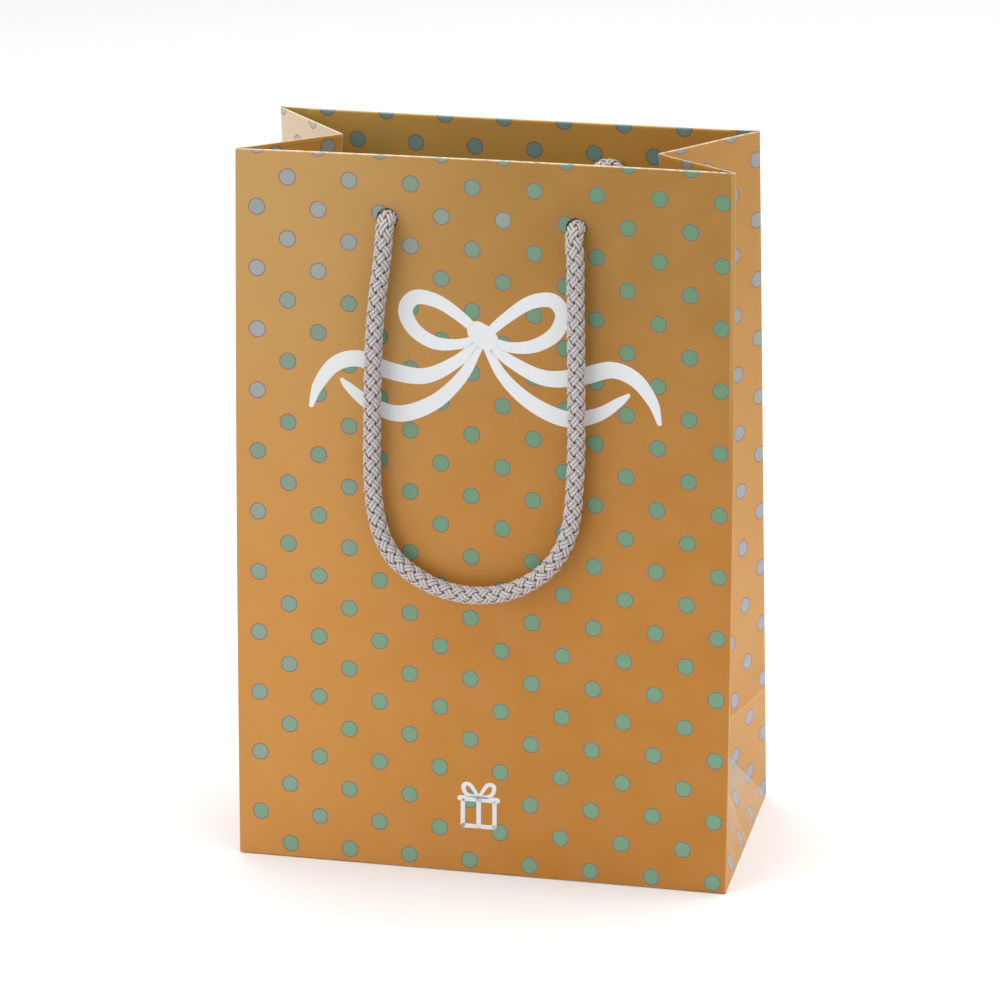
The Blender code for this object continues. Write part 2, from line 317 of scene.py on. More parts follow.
def dot_field(paint, u, v):
    """How far a place in the print is from the nearest dot's middle, and a number for each dot."""
    across = paint.math("DIVIDE", paint.math("SUBTRACT", u, DOT_PLACE[0]), DOT_STEP)
    down = paint.math("DIVIDE", paint.math("MAXIMUM", v, 0.0), PRINT_MIDDLE)
    bend = paint.math("POWER", paint.math("SUBTRACT", down, 1.0), 2.0)
    level = paint.math("SUBTRACT", v, paint.times(bend, PRINT_STRETCH))
    level = paint.math("SUBTRACT", level, paint.times(u, DOT_TILT))
    below = paint.math("DIVIDE", paint.math("SUBTRACT", level, DOT_PLACE[1]), DOT_STEP_DOWN)
    parts = []
    cells = []
    for operation, step in (("ADD", 7.3), ("SUBTRACT", 3.1)):
        diagonal = paint.math("DIVIDE", paint.math(operation, across, below), 2.0)
        cell = paint.math("ROUND", diagonal)
        cells.append(paint.times(cell, step))
        parts.append(paint.math("POWER", paint.math("SUBTRACT", diagonal, cell), 2.0))
    away = paint.math("SQRT", paint.times(paint.math("ADD", *parts), 2.0))
    tone = paint.nodes.new("ShaderNodeTexWhiteNoise")
    tone.noise_dimensions = "1D"
    paint.put(tone.inputs["W"], paint.math("ADD", *cells))
    return paint.times(away, DOT_STEP), tone.outputs["Value"]


def sheet_places(paint, spot, u, v):
    """Regions of the flat sheet, each from 0 to 1, and the noises that the layers share."""
    wide = paint.math("ABSOLUTE", u)
    beyond = paint.ramp(wide, HALF - 0.75 * MM, HALF - 0.35 * MM)
    middle = -HALF - GUSSET
    return SimpleNamespace(
        u=u, v=v, wide=wide, beyond=beyond,
        on_side=paint.times(beyond, paint.ramp(wide, HIND - 0.4 * MM, HIND, 1, 0)),
        turned=paint.ramp(v, -0.3 * MM, 0.1 * MM, 1, 0),
        crease=paint.math("SUBTRACT", v, SLOPE - GUSSET),
        # Where the left rear gusset gets its painted reflection
        left_rear_glare=paint.times(paint.ramp(v, 10 * MM, 110 * MM, 0.84, 0),
                          paint.ramp(u, middle - 0.4 * MM, middle, 1, 0)),
        cloud=paint.noise(spot, 60, 3), grain=paint.noise(spot, 2600, 2))


def ground_color(paint, at, foot):
    """The orange: painted shade makes it duller at the top of the sheet, a painted reflection makes
    it paler at its left edge, and the gussets get a paler lit copy.
    """
    # Painted shade towards the top of the sheet, and a painted reflection at its left edge
    top_shade = paint.ramp(at.v, -2 * MM, 150 * MM, 1, 0)
    left = paint.ramp(at.u, -HALF, 30 * MM, 1, 0)
    ground = paint.mix(top_shade, paint.mix(left, ORANGE, ORANGE_LEFT_GLARE), paint.mix(left, ORANGE_TOP_SHADE, ORANGE_TOP_SHADE_LEFT_GLARE))
    # Painted light: the gussets get a lit copy of the orange, duller at the top by painted shade
    near_fold = paint.ramp(at.wide, HALF, HALF + 24 * MM, 1, 0)
    side = paint.mix(top_shade, paint.mix(near_fold, SIDE_ORANGE_LIT, SIDE_NEAR_FOLD_LIT), SIDE_LIT_TOP_SHADE)
    ground = paint.mix(at.beyond, ground, side)
    # Painted light: the turned-in print gets a lit copy of the orange, different at left and right
    far = paint.ramp(at.u, HIND, HIND + 2 * HALF)
    ground = paint.mix(at.turned, ground, paint.mix(far, INSIDE_RIGHT_LIT, INSIDE_LEFT_LIT))
    # Painted reflection of the floor, pale on the foot triangles near their top
    if foot:
        near_top = paint.ramp(at.v, SLOPE - GUSSET + 8 * MM, SLOPE - 2 * MM, 0.9, 0.1)
        far_up = paint.ramp(at.wide, HALF, HALF + 26 * MM, 0.42, 1.0)
        ground = paint.mix(paint.times(near_top, far_up), ground, FOOT_FLOOR_GLARE)
    # Above the level crease of a gusset the paper bends away from the light
    above = paint.times(paint.ramp(at.crease, -24 * MM, 0.0, 0, 0.45),
                        paint.ramp(at.crease, -0.4 * MM, 0.2 * MM, 1, 0))
    ground = paint.mix(paint.times(above, at.on_side), ground, BENT_AWAY)
    ground = paint.mix(paint.ramp(at.cloud, 0.35, 0.7, 0, 0.10), ground, PALE_ORANGE)
    ground = paint.mix(paint.ramp(at.grain, 0.3, 0.7, 0, 0.14), ground, GROUND_GRAIN)
    # Painted reflection: pale cream on the left rear gusset
    return paint.mix(at.left_rear_glare, ground, GLARE_CREAM)


def dot_color(paint, at, tone):
    """The dots' ink: a painted reflection makes it greyer at the left and on the gussets; it is a
    little different for each dot.
    """
    # Painted reflection: the dots turn lilac grey at the left, in a strip near the top, on the
    # gussets and on the turned-in print, varied a little for each dot
    glare_veil = paint.times(paint.ramp(at.u, -HALF, -HALF + 60 * MM, 1, 0),
                       paint.ramp(at.v, 0.0, 150 * MM, 1, 0.25))
    strip = paint.times(paint.ramp(at.v, 22 * MM, 50 * MM, 0.62, 0),
                        paint.ramp(at.u, -8 * MM, 32 * MM, 1, 0))
    glare_veil = paint.times(paint.math("MAXIMUM", glare_veil, strip), paint.ramp(tone, 0, 1, 0.45, 1.45))
    glare_veil = paint.math("MAXIMUM", glare_veil, paint.times(at.turned, 0.45))
    gusset = paint.times(paint.ramp(at.wide, HALF - 1 * MM, HALF + 14 * MM, 0, 0.85),
                         paint.ramp(at.wide, HIND - 1 * MM, HIND, 1, 0))
    # Painted shade: the green is darker towards the top of the sheet
    green = paint.mix(paint.ramp(at.v, 45 * MM, 190 * MM), GREEN_TOP_SHADE, GREEN_LOW)
    low = paint.times(gusset, paint.ramp(at.v, 70 * MM, 130 * MM))
    ink = paint.mix(paint.math("MAXIMUM", glare_veil, gusset, clamp=True), green,
                    paint.mix(low, LILAC_GLARE, SIDE_LILAC_GLARE))
    # Painted light: a lit copy of the ink on the back's inside
    behind = paint.times(at.turned, paint.ramp(at.wide, HIND - 0.4 * MM, HIND))
    ink = paint.mix(behind, ink, INSIDE_INK_LIT)
    ink = paint.mix(paint.ramp(at.grain, 0.3, 0.7, 0, 0.18), ink, INK_GRAIN)
    # Half of the painted reflection on the left rear gusset
    return paint.mix(paint.times(at.left_rear_glare, 0.5), ink, GLARE_CREAM)


def fold_marks(paint, at, tint):
    """The second line inside the right fold as a painted highlight band beside a line of painted
    shade, and a painted highlight along the corner folds.
    """
    # The painted shade line and its painted highlight band run only as far down as the turn-in
    # behind them, and fade out
    flat = paint.times(paint.ramp(at.u, HALF - 0.1 * MM, HALF + 0.2 * MM, 1, 0),
                       paint.ramp(at.v, 45 * MM, 100 * MM, 1, 0))
    band_highlight = paint.times(paint.ramp(at.u, SECOND_LINE, SECOND_LINE + 0.3 * MM), flat)
    tint = paint.mix(paint.times(band_highlight, 0.34), tint, BAND_HIGHLIGHT)
    groove_shade = paint.ramp(paint.gap(at.u, SECOND_LINE), 0.05 * MM, 0.35 * MM, 0.30, 0)
    tint = paint.mix(paint.times(groove_shade, flat), tint, GROOVE_SHADE)
    # The painted highlight along the corner folds is strongest from half height down to the level
    # creases
    fold_highlight_mask = paint.ramp(paint.gap(at.wide, HALF + 0.35 * MM), 0.45 * MM, 0.75 * MM, 1, 0)
    length = paint.times(paint.ramp(at.v, 40 * MM, 105 * MM, 0.2, 0.85),
                         paint.ramp(at.crease, -8 * MM, 6 * MM, 1, 0.25))
    return paint.mix(paint.times(fold_highlight_mask, length), tint, FOLD_HIGHLIGHT)


def fold_wear_and_highlight(paint, at):
    """Folds rub pale, and the pale line also stands in for their highlight: wear and painted
    highlight on the corner folds, the gussets' middles and level creases, and the rim.
    """
    line = paint.ramp(paint.math("ABSOLUTE", at.crease), 0.05 * MM, 0.45 * MM, 0.3, 0)
    wear_and_highlight = paint.math("MAXIMUM", paint.times(line, at.on_side),
                      paint.ramp(paint.math("ABSOLUTE", at.v), 0.1 * MM, 0.5 * MM, 1, 0))
    for fold in (HALF, HALF + GUSSET, HIND):
        line = paint.ramp(paint.gap(at.wide, fold), 0.03 * MM, 0.30 * MM, 1, 0)
        wear_and_highlight = paint.math("MAXIMUM", wear_and_highlight, line)
    return wear_and_highlight


def print_paint(name, foot=False):
    """Satin laminated print: dots on orange, in metres of the flat sheet."""
    paint = Paint(name, 0.4, Specular_IOR_Level=0.36, Coat_Weight=0.05, Coat_Roughness=0.22)
    spot, u, v = paint.uv()
    _, print_u, print_v = paint.uv("Print")
    away, tone = dot_field(paint, print_u, print_v)
    at = sheet_places(paint, spot, u, v)
    away = paint.math("ADD", away, paint.times(paint.noise(spot, 1500, 3), 0.06 * MM))
    edge = DOT_RADIUS + 0.03 * MM
    inked = paint.ramp(away, edge - 0.06 * MM, edge + 0.02 * MM, 1, 0)
    ring = paint.times(paint.ramp(away, edge - 0.32 * MM, edge - 0.16 * MM), inked)
    halo = paint.ramp(away, edge, edge + 0.35 * MM, 0.5, 0)
    tint = paint.mix(halo, ground_color(paint, at, foot), HALO)
    tint = paint.mix(inked, tint, dot_color(paint, at, tone))
    tint = paint.mix(paint.times(ring, 0.9), tint, RING)
    tint = fold_marks(paint, at, tint)
    wear_and_highlight = fold_wear_and_highlight(paint, at)
    rub = paint.ramp(paint.noise(spot, 420, 4), 0.30, 0.62, 0.25, 0.95)
    # Pale folds: wear, and a painted highlight along them
    paint.color(paint.mix(paint.times(wear_and_highlight, rub), tint, WORN_AND_HIGHLIGHT))
    gloss = paint.ramp(paint.noise(spot, 180, 4), 0.3, 0.7, 0.36, 0.46)
    paint.roughness(paint.math("ADD", gloss, paint.times(wear_and_highlight, 0.4)))
    paint.bump(at.grain, 0.006 * MM, 0.6)
    paint.bump(at.cloud, 0.12 * MM, 0.5)
    return paint.material


def paper_paint(name, light, dark, scale, fibre=0.5):
    """Uncoated paper or board: short fibres and soft mottling."""
    paint = Paint(name, 0.85, Specular_IOR_Level=0.3)
    spot = paint.place()
    fibres = paint.noise(spot, scale, 5, stretch=(1.0, 1.0, 0.25))
    cloud = paint.noise(spot, scale / 14, 3)
    tint = paint.mix(paint.ramp(fibres, 0.3, 0.7, 0, fibre), light, dark)
    tint = paint.mix(paint.ramp(cloud, 0.3, 0.7, 0, 0.35), tint, dark)
    paint.color(tint)
    paint.roughness(paint.ramp(fibres, 0.3, 0.7, 0.78, 0.92))
    paint.bump(fibres, 0.03 * MM, 0.7)
    return paint.material


# Painted shade and orange reflected light on the yarns' flanks
FLANK_SHADE = (0.44, 0.23, 0.10)


def yarn_paint(name, light, dark, gap):
    """Soft twisted yarn: fibre lines along the strand, a random tone for each yarn, and painted
    shade with orange reflected light on its flanks.
    """
    paint = Paint(name, 0.75, Specular_IOR_Level=0.25, Sheen_Weight=0.6, Sheen_Roughness=0.35)
    paint.shader.inputs["Sheen Tint"].default_value = (0.76, 0.85, 1.0, 1)
    _, u, v = paint.uv()
    join = paint.nodes.new("ShaderNodeCombineXYZ")
    turn = paint.math("ADD", v, paint.times(u, 260.0))
    paint.put(join.inputs[0], paint.times(u, 900.0))
    paint.put(join.inputs[1], paint.times(turn, 26.0))
    lines = paint.noise(join.outputs[0], 1.0, 3)
    tone = paint.nodes.new("ShaderNodeTexWhiteNoise")
    tone.noise_dimensions = "1D"
    paint.put(tone.inputs["W"], paint.math("FLOOR", v))
    tint = paint.mix(paint.ramp(lines, 0.25, 0.75, 0.55, 0.0), light, dark)
    tint = paint.mix(paint.ramp(tone.outputs["Value"], 0, 1, 0, 0.22), tint, gap)
    # A yarn's section runs from 0 to 1 with its outermost line at a quarter; its flanks are painted
    # brown, painted shade and orange reflected light between the yarns
    flank_shade = paint.gap(paint.math("FRACT", v), 0.25)
    tint = paint.mix(paint.ramp(flank_shade, 0.11, 0.23, 0, 0.8), tint, FLANK_SHADE)
    paint.color(tint)
    paint.roughness(paint.ramp(lines, 0.3, 0.7, 0.65, 0.85))
    paint.bump(lines, 0.06 * MM, 0.8)
    return paint.material


def ink_paint(name):
    """White screen ink: a thin even film, slightly glossier than the laminate."""
    paint = Paint(name, 0.45, Specular_IOR_Level=0.45)
    spot = paint.place()
    grain = paint.noise(spot, 2200, 3)
    cloud = paint.noise(spot, 90, 2)
    tint = paint.mix(paint.ramp(grain, 0.3, 0.7, 0, 0.25), (0.80, 0.81, 0.82), (0.70, 0.71, 0.72))
    tint = paint.mix(paint.ramp(cloud, 0.3, 0.7, 0, 0.3), tint, (0.74, 0.75, 0.77))
    paint.color(tint)
    paint.roughness(paint.ramp(cloud, 0.3, 0.7, 0.40, 0.52))
    paint.bump(grain, 0.005 * MM, 0.6)
    return paint.material


PRINT = print_paint("printed_laminate")
PRINT_INSIDE = print_paint("printed_laminate_turned_in")
PRINT_FOOT = print_paint("printed_laminate_foot", foot=True)
WHITE = paper_paint("plain_paper_white", (0.82, 0.81, 0.78), (0.72, 0.70, 0.66), 900)
CORE = paper_paint("paper_core", (0.86, 0.85, 0.82), (0.76, 0.74, 0.70), 1800)
BOARD = paper_paint("grey_board", (0.50, 0.48, 0.44), (0.36, 0.34, 0.30), 700, 0.8)
YARN = yarn_paint("rope_yarn", (0.62, 0.62, 0.65), (0.43, 0.41, 0.41), (0.52, 0.45, 0.38))
# The rope's core is painted orange brown: painted shade and orange reflected light in the gaps
# between the strands
ROPE_CORE_SHADE = yarn_paint("rope_core", (0.52, 0.26, 0.10), (0.34, 0.16, 0.055), (0.38, 0.18, 0.065))
INK = ink_paint("white_ink")


# ------------ mesh helpers

def add_mesh(name, points, faces, paints, face_paints=None, uvs=None, sharp=35.0):
    """An object from its points; uvs holds a place for each point, and its place in the print."""
    mesh = bpy.data.meshes.new(name)
    mesh.from_pydata(points, [], faces)
    for paint in paints:
        mesh.materials.append(paint)
    if face_paints is not None:
        mesh.polygons.foreach_set("material_index", face_paints)
    if uvs is not None:
        corners = np.zeros(len(mesh.loops), np.int32)
        mesh.loops.foreach_get("vertex_index", corners)
        places = np.array(uvs, np.float32)[corners]
        for first, layer_name in zip(range(0, places.shape[1], 2), ("UVMap", "Print")):
            layer = mesh.uv_layers.new(name=layer_name)
            layer.data.foreach_set("uv", places[:, first:first + 2].ravel())
    mesh.shade_smooth()
    mesh.set_sharp_from_angle(angle=math.radians(sharp))
    mesh.validate()
    made = bpy.data.objects.new(name, mesh)
    bpy.context.collection.objects.link(made)
    return made


def sheet(name, rows, paints, place, flip=False):
    """A closed sheet over a grid of (point, outward normal, thickness, uv).

    Its outer faces get the first material, its back the second and its rim the third.
    """
    tall = len(rows)
    wide = len(rows[0])
    turn = place.to_3x3()
    outer = [skewed(place @ point) for row in rows for point, _, _, _ in row]
    inner = [skewed(place @ point - (turn @ normal) * thickness)
             for row in rows for point, normal, thickness, _ in row]
    uvs = [uv for row in rows for _, _, _, uv in row] * 2
    shift = tall * wide
    faces = []
    kinds = []
    for i in range(tall - 1):
        for j in range(wide - 1):
            loop = (i * wide + j, i * wide + j + 1, (i + 1) * wide + j + 1, (i + 1) * wide + j)
            faces.append(loop[::-1] if flip else loop)
            faces.append(tuple(k + shift for k in (loop if flip else loop[::-1])))
            kinds += [0, 1]
    rim = list(range(wide)) + [(i + 1) * wide - 1 for i in range(1, tall)]
    rim += [(tall - 1) * wide + j for j in range(wide - 2, -1, -1)]
    rim += [i * wide for i in range(tall - 2, 0, -1)]
    for here, there in zip(rim, rim[1:] + rim[:1]):
        loop = (there, here, here + shift, there + shift)
        faces.append(loop[::-1] if flip else loop)
        kinds.append(2)
    return add_mesh(name, outer + inner, faces, paints, kinds, uvs)


def spread(start, end, step):
    """Even numbers from start to end, about a step apart."""
    count = max(1, round(abs(end - start) / step))
    return [start + (end - start) * k / count for k in range(count + 1)]


def fold_columns(turn, steps=4):
    """Across half of a rounded fold: (distance from the fold, push in, turn of the normal)."""
    reach = FOLD * math.tan(turn / 2)
    made = []
    for k in range(steps + 1):
        angle = turn / 2 * (1 - k / steps)
        made.append((reach - FOLD * math.sin(angle), FOLD - FOLD * math.cos(angle), angle))
    return made


SEEDS = {"front": 1.3, "back": 4.1}


def dents(x, z, seed):
    """Slight unevenness of a paper wall, in metres."""
    wide = noise.noise(Vector((x / (45 * MM), z / (60 * MM), seed)))
    small = noise.noise(Vector((x / (16 * MM), z / (20 * MM), seed + 9.5)))
    return (0.16 * wide + 0.035 * small) * MM


def hollow(x, z, face):
    """How far a panel's outer face lies behind the flat, at a place on it."""
    across = 1 - min(1.0, (x / HALF) ** 2)
    sink = HOLLOW[face] * across * math.sin(0.62 * math.pi * min(z / SLOPE, 1.0))
    return sink + dents(x, z, SEEDS[face]) * smooth(across * 4)


def paper_at(gap):
    """The sheet thins to an edge where two sheets meet at a fold."""
    return PAPER * min(1.0, max(0.1, gap / (0.9 * MM)))


def panel_lip(gap, drop=0.0):
    """Thickness of a panel's folded top: two sheets of paper, and the card between them."""
    card = 0.5 * smooth((gap - 7 * MM) / (3 * MM)) * (1 - smooth((drop - 31.5 * MM) / (3 * MM)))
    return max(0.04, 0.5 * smooth(gap / (4 * MM)) + card) * MM


def gusset_lip(out):
    """Thickness of a gusset's folded top, thin at the corner and at the middle crease."""
    ridge = 1 - 0.5 * smooth((out - GUSSET + 4 * MM) / (4 * MM))
    return max(0.04, 0.5 * smooth(out / (4 * MM)) * ridge) * MM


def over_ridge(out, depth, angle):
    """A layer that lies further in reaches further out round the middle crease."""
    return out + depth * math.tan(angle) * smooth((out - GUSSET + 3 * MM) / (3 * MM))


# How far off the middle creases stand at the top, and bow out sideways at half height, in mm
CREASE_OFF = {-1: (-1.3, 2.0, 0), 1: (0.5, -2.0, 0)}
CREASE_BOW = {-1: 0.0, 1: 0.9}


def crease_shift(side, out, up):
    """The middle creases of the gussets don't stand quite in the middle either."""
    shift = Vector(CREASE_OFF[side]) * up / SLOPE
    bow = math.sin(math.pi * min(up / SLOPE, 1.0)) * smooth((up - GUSSET) / (20 * MM))
    shift.x += CREASE_BOW[side] * bow
    return shift * MM * smooth(out / GUSSET)


LIP_STEPS = 8


def section(kind, value, lip):
    """One row of a wall: (up, push in, normal inwards, normal up, distance below the fold)."""
    if kind == "foot":
        turn = (math.pi / 2 + LEAN) / 2 * value
        reach = FOLD * math.tan((math.pi / 2 + LEAN) / 2)
        up = reach - FOLD * math.sin(turn)
        return up, FOLD - FOLD * math.cos(turn), -math.cos(turn), -math.sin(turn), SLOPE - up
    radius = lip / 2
    if kind == "wall":
        up = min(value, SLOPE - radius)
        return up, 0.0, -1.0, 0.0, SLOPE - up
    if kind == "arc":
        up = SLOPE - radius + radius * math.sin(value)
        return (up, radius - radius * math.cos(value), -math.cos(value), math.sin(value),
                radius - value * radius)
    up = SLOPE - radius - value
    return up, lip, 1.0, 0.0, radius - math.pi * radius - value


def wall_levels(ups):
    """The rows of a wall, from its foot over the top edge and down inside."""
    levels = [("wall", up) for up in ups]
    levels += [("arc", math.pi * k / LIP_STEPS) for k in range(LIP_STEPS + 1)]
    return levels + [("down", LIP * k / 2) for k in (1, 2)]


def cut_holes(piece, place):
    """Round punched holes for the rope; their walls show the paper's core."""
    for side in (-1, 1):
        bpy.ops.mesh.primitive_cylinder_add(vertices=40, radius=HOLE / 2, depth=12 * MM)
        cutter = bpy.context.object
        spot = Matrix.Translation((side * HOLE_SIDE, 0, HOLE_UP))
        cutter.matrix_world = place @ spot @ Matrix.Rotation(math.pi / 2, 4, "X")
        cutter.data.materials.append(CORE)
        cut = piece.modifiers.new("hole", "BOOLEAN")
        cut.operation = "DIFFERENCE"
        cut.solver = "EXACT"
        cut.object = cutter
        cut.material_mode = "TRANSFER"
        bpy.context.view_layer.update()
        ready = piece.evaluated_get(bpy.context.evaluated_depsgraph_get())
        mesh = bpy.data.meshes.new_from_object(ready)
        piece.modifiers.clear()
        piece.data = mesh
        bpy.data.objects.remove(cutter, do_unlink=True)
    piece.data.set_sharp_from_angle(angle=math.radians(35))


# ------------ panels

def on_sheet(face, x, below):
    """Where a place on a panel lies on the flat sheet, and in the print."""
    if face == "front":
        return x, below, x, below
    u = HALF + HIND + x
    return u, below, u - BACK_PRINT[0], below + BACK_PRINT[1]


def panel_columns(up, inner_step=2.0 * MM):
    """(x, push in, normal across, normal inwards) for a row of a panel."""
    folds = fold_columns(math.pi / 2 + fold_angle(up))
    side = [(HALF - gap, push, math.sin(turn), math.cos(turn)) for gap, push, turn in folds]
    left = [(-x, push, -across, square) for x, push, across, square in side]
    limit = HALF - 2.0 * MM
    middle = [(x, 0.0, 0.0, 1.0) for x in spread(-limit, limit, inner_step)]
    return left + middle + side[::-1]


def make_panel(face):
    place = PANELS[face]
    ups = [0.8 * MM] + spread(2 * MM, SLOPE - 2 * MM, 2.0 * MM) + [SLOPE - 1 * MM]
    levels = [("foot", 1 - k / 3) for k in range(4)] + wall_levels(ups)
    rows = []
    for kind, value in levels:
        up_here = value if kind == "wall" else (0.0 if kind == "foot" else SLOPE)
        rows.append([])
        for x, push, across, square in panel_columns(up_here):
            gap = HALF - abs(x)
            lip = panel_lip(gap)
            up, fold_push, normal_in, normal_up, below = section(kind, value, lip)
            sink = hollow(x, up, face)
            point = Vector((x, sink + push + fold_push, up))
            normal = Vector((across, normal_in * square, normal_up)).normalized()
            thick = paper_at(gap)
            if kind in ("arc", "down"):
                thick = min(thick, 0.4 * lip)
            rows[-1].append((point, normal, thick, on_sheet(face, x, below)))
    panel = sheet(f"{face}_panel_sheet", rows, (PRINT, WHITE, CORE), place)
    cut_holes(panel, place)
    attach(panel, f"{face}_panel")
    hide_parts(f"{face}_panel")
    make_panel_turn_in(face, place)
    make_card(face)
    if face == "back":
        make_seam()


def make_panel_turn_in(face, place):
    """The top of the sheet, folded over and glued down inside."""
    limit = HALF - 1.5 * MM
    columns = [-limit, -limit + 0.7 * MM] + spread(-limit + 2 * MM, limit - 2 * MM, 2.0 * MM)
    columns += [limit - 0.7 * MM, limit]
    rows = []
    for drop in spread(0.0, TURN_IN - LIP, 2.0 * MM):
        rows.append([])
        for x in columns:
            gap = HALF - abs(x)
            lip = panel_lip(gap)
            up, _, _, _, below = section("down", LIP + drop, lip)
            depth = panel_lip(gap, LIP + drop)
            point = Vector((x, hollow(x, up, face) + depth, up))
            thick = min(TURN_IN_PAPER, 0.42 * depth)
            rows[-1].append((point, Vector((0, 1, 0)), thick, on_sheet(face, x, below)))
    piece = sheet(f"{face}_turn_in_sheet", rows, (PRINT_INSIDE, WHITE, PRINT_INSIDE), place)
    cut_holes(piece, place)
    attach(piece, f"{face}_panel")
    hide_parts(f"{face}_turn_in")


def make_strip(name, face, ups, columns, depth, thick, paints):
    """A flat strip that lies inside a panel."""
    rows = [[(Vector((x, hollow(x, up, face) + depth, up)), Vector((0, -1, 0)), thick,
              (x, up, x, up)) for x in columns] for up in ups]
    return sheet(name, rows, paints, PANELS[face])


def make_card(face):
    """The strip of card inside the folded top."""
    limit = HALF - 9.5 * MM
    ups = spread(SLOPE - CARD_DROP, SLOPE - 0.9 * MM, 2.0 * MM)
    card = make_strip(f"{face}_stiffener", face, ups, spread(-limit, limit, 3.0 * MM),
                      0.28 * MM, 0.46 * MM, (BOARD, BOARD, BOARD))
    cut_holes(card, PANELS[face])
    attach(card, f"{face}_panel")
    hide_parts(f"{face}_stiffener_card")


def make_seam():
    """The glue flap inside the back panel."""
    outer = HALF - 4.5 * MM
    ups = spread(8 * MM, SLOPE - TURN_IN - 0.6 * MM, 2.5 * MM)
    flap = make_strip("side_seam_flap_sheet", "back", ups, spread(outer - 14 * MM, outer, 2.0 * MM),
                      0.29 * MM, 0.24 * MM, (WHITE, WHITE, CORE))
    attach(flap, "back_panel")
    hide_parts("side_seam_flap")


# ------------ gussets


def tent(up, out):
    """The level crease across a gusset at the height of its half width."""
    near = max(0.0, 1 - abs(up - GUSSET) / (6 * MM))
    return 0.4 * MM * near * smooth(out / (8 * MM)) * smooth((GUSSET + 1 * MM - out) / (6 * MM))


def gusset_axes(side, angle):
    """Along a gusset half, away from its corner fold, and square to it, inwards."""
    return (Vector((-side * math.sin(angle), math.cos(angle), 0)),
            Vector((-side * math.cos(angle), -math.sin(angle), 0)))


def gusset_wave(out, up, seed):
    """The dents of a gusset half, which fade at its creases."""
    ends = smooth(out / (6 * MM)) * smooth((GUSSET - out) / (6 * MM))
    return dents(out, up, seed) * 1.3 * ends


def gusset_columns(up, end, steps=15):
    """(out, push in, turn) along a row of a gusset half."""
    folds = fold_columns(math.pi / 2 + fold_angle(up))
    start = folds[-1][0]
    end = max(end, start + 0.1 * MM)
    return folds + [(start + (end - start) * k / steps, 0.0, 0.0) for k in range(1, steps + 1)]


# How far the print is off on a gusset half: towards its middle crease and down, in mm
PRINT_SHIFTS = {"right_gusset_front": (0.0, 0.0), "right_gusset_rear": (-2.6, 0.0),
                "left_gusset_front": (2.2, -1.0), "left_gusset_rear": (-5.4, 2.4)}


def unstretched(below):
    """The level in the stretched print that shows what lies evenly at a level."""
    return below + PRINT_STRETCH * (max(below, 0.0) / PRINT_MIDDLE - 1) ** 2 - SIDE_PRINT_UP


def on_gusset(name, side, face, out, below):
    """Where a place on a gusset half lies on the flat sheet, and in the print."""
    across, down = PRINT_SHIFTS[name]
    start = HALF if face == "front" else -HIND
    u = side * (start + out)
    return u, below, u - side * across * MM, unstretched(below) - down * MM


def make_gusset_half(face, side):
    place = PANELS[face]
    right = (side > 0) == (face == "front")
    name = f"{'right' if right else 'left'}_gusset_{'front' if face == 'front' else 'rear'}"
    seed = 7.7 + 3.1 * side + SEEDS[face]
    seen = 1 if right else -1
    turned_in = place.inverted()
    low = spread(0.7 * MM, GUSSET - 6 * MM, 2.4 * MM)
    near = [GUSSET - 3 * MM, GUSSET - 1 * MM, GUSSET, GUSSET + 1 * MM, GUSSET + 3 * MM]
    high = spread(GUSSET + 6 * MM, SLOPE - 2 * MM, 2.4 * MM) + [SLOPE - 1 * MM]
    over = 0.12 * MM              # the halves meet with a hair's overlap
    rows = []
    for kind, value in wall_levels(low + near + high):
        level = value if kind == "wall" else SLOPE
        angle = fold_angle(level)
        across, inward = gusset_axes(side, angle)
        end = min(level, GUSSET) + (over if level > GUSSET else 0.0)
        rows.append([])
        for out, push, turn in gusset_columns(level, end):
            lip = gusset_lip(out)
            up, fold_push, normal_in, normal_up, below = section(kind, value, lip)
            depth = push + fold_push + gusset_wave(out, up, seed) - tent(up, out)
            reach = over_ridge(out, fold_push, angle)
            point = Vector((side * HALF, 0, up)) + across * reach + inward * depth
            point += turned_in.to_3x3() @ crease_shift(seen, out, up)
            normal = inward * normal_in * math.cos(turn) - across * math.sin(turn)
            normal = (normal + Vector((0, 0, normal_up))).normalized()
            thick = min(paper_at(out), paper_at(GUSSET + 0.6 * MM - out))
            if kind in ("arc", "down"):
                thick = min(thick, 0.4 * lip)
            rows[-1].append((point, normal, thick, on_gusset(name, side, face, out, below)))
    flip = side < 0
    half = sheet(f"{name}_sheet", rows, (PRINT, WHITE, CORE), place, flip)
    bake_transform(half)
    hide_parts(name)
    hem = make_gusset_turn_in(face, side, name, place, seed, seen)
    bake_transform(hem)


def make_gusset_turn_in(face, side, name, place, seed, seen):
    turned_in = place.inverted()
    rows = []
    for drop in spread(0.0, TURN_IN - LIP, 2.2 * MM):
        rows.append([])
        for out in spread(1.5 * MM, GUSSET, 1.6 * MM):
            lip = gusset_lip(out)
            up, _, _, _, below = section("down", LIP + drop, lip)
            angle = fold_angle(up)
            across, inward = gusset_axes(side, angle)
            depth = lip + gusset_wave(out, up, seed)
            reach = over_ridge(out, depth, angle)
            point = Vector((side * HALF, 0, up)) + across * reach + inward * depth
            point += turned_in.to_3x3() @ crease_shift(seen, out, up)
            uv = on_gusset(name, side, face, out, below)
            rows[-1].append((point, inward, min(TURN_IN_PAPER, 0.42 * lip), uv))
    paints = (PRINT_INSIDE, WHITE, PRINT_INSIDE)
    hem = sheet(f"{name}_turn_in_sheet", rows, paints, place, side < 0)
    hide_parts(f"{name}_turn_in")
    return hem


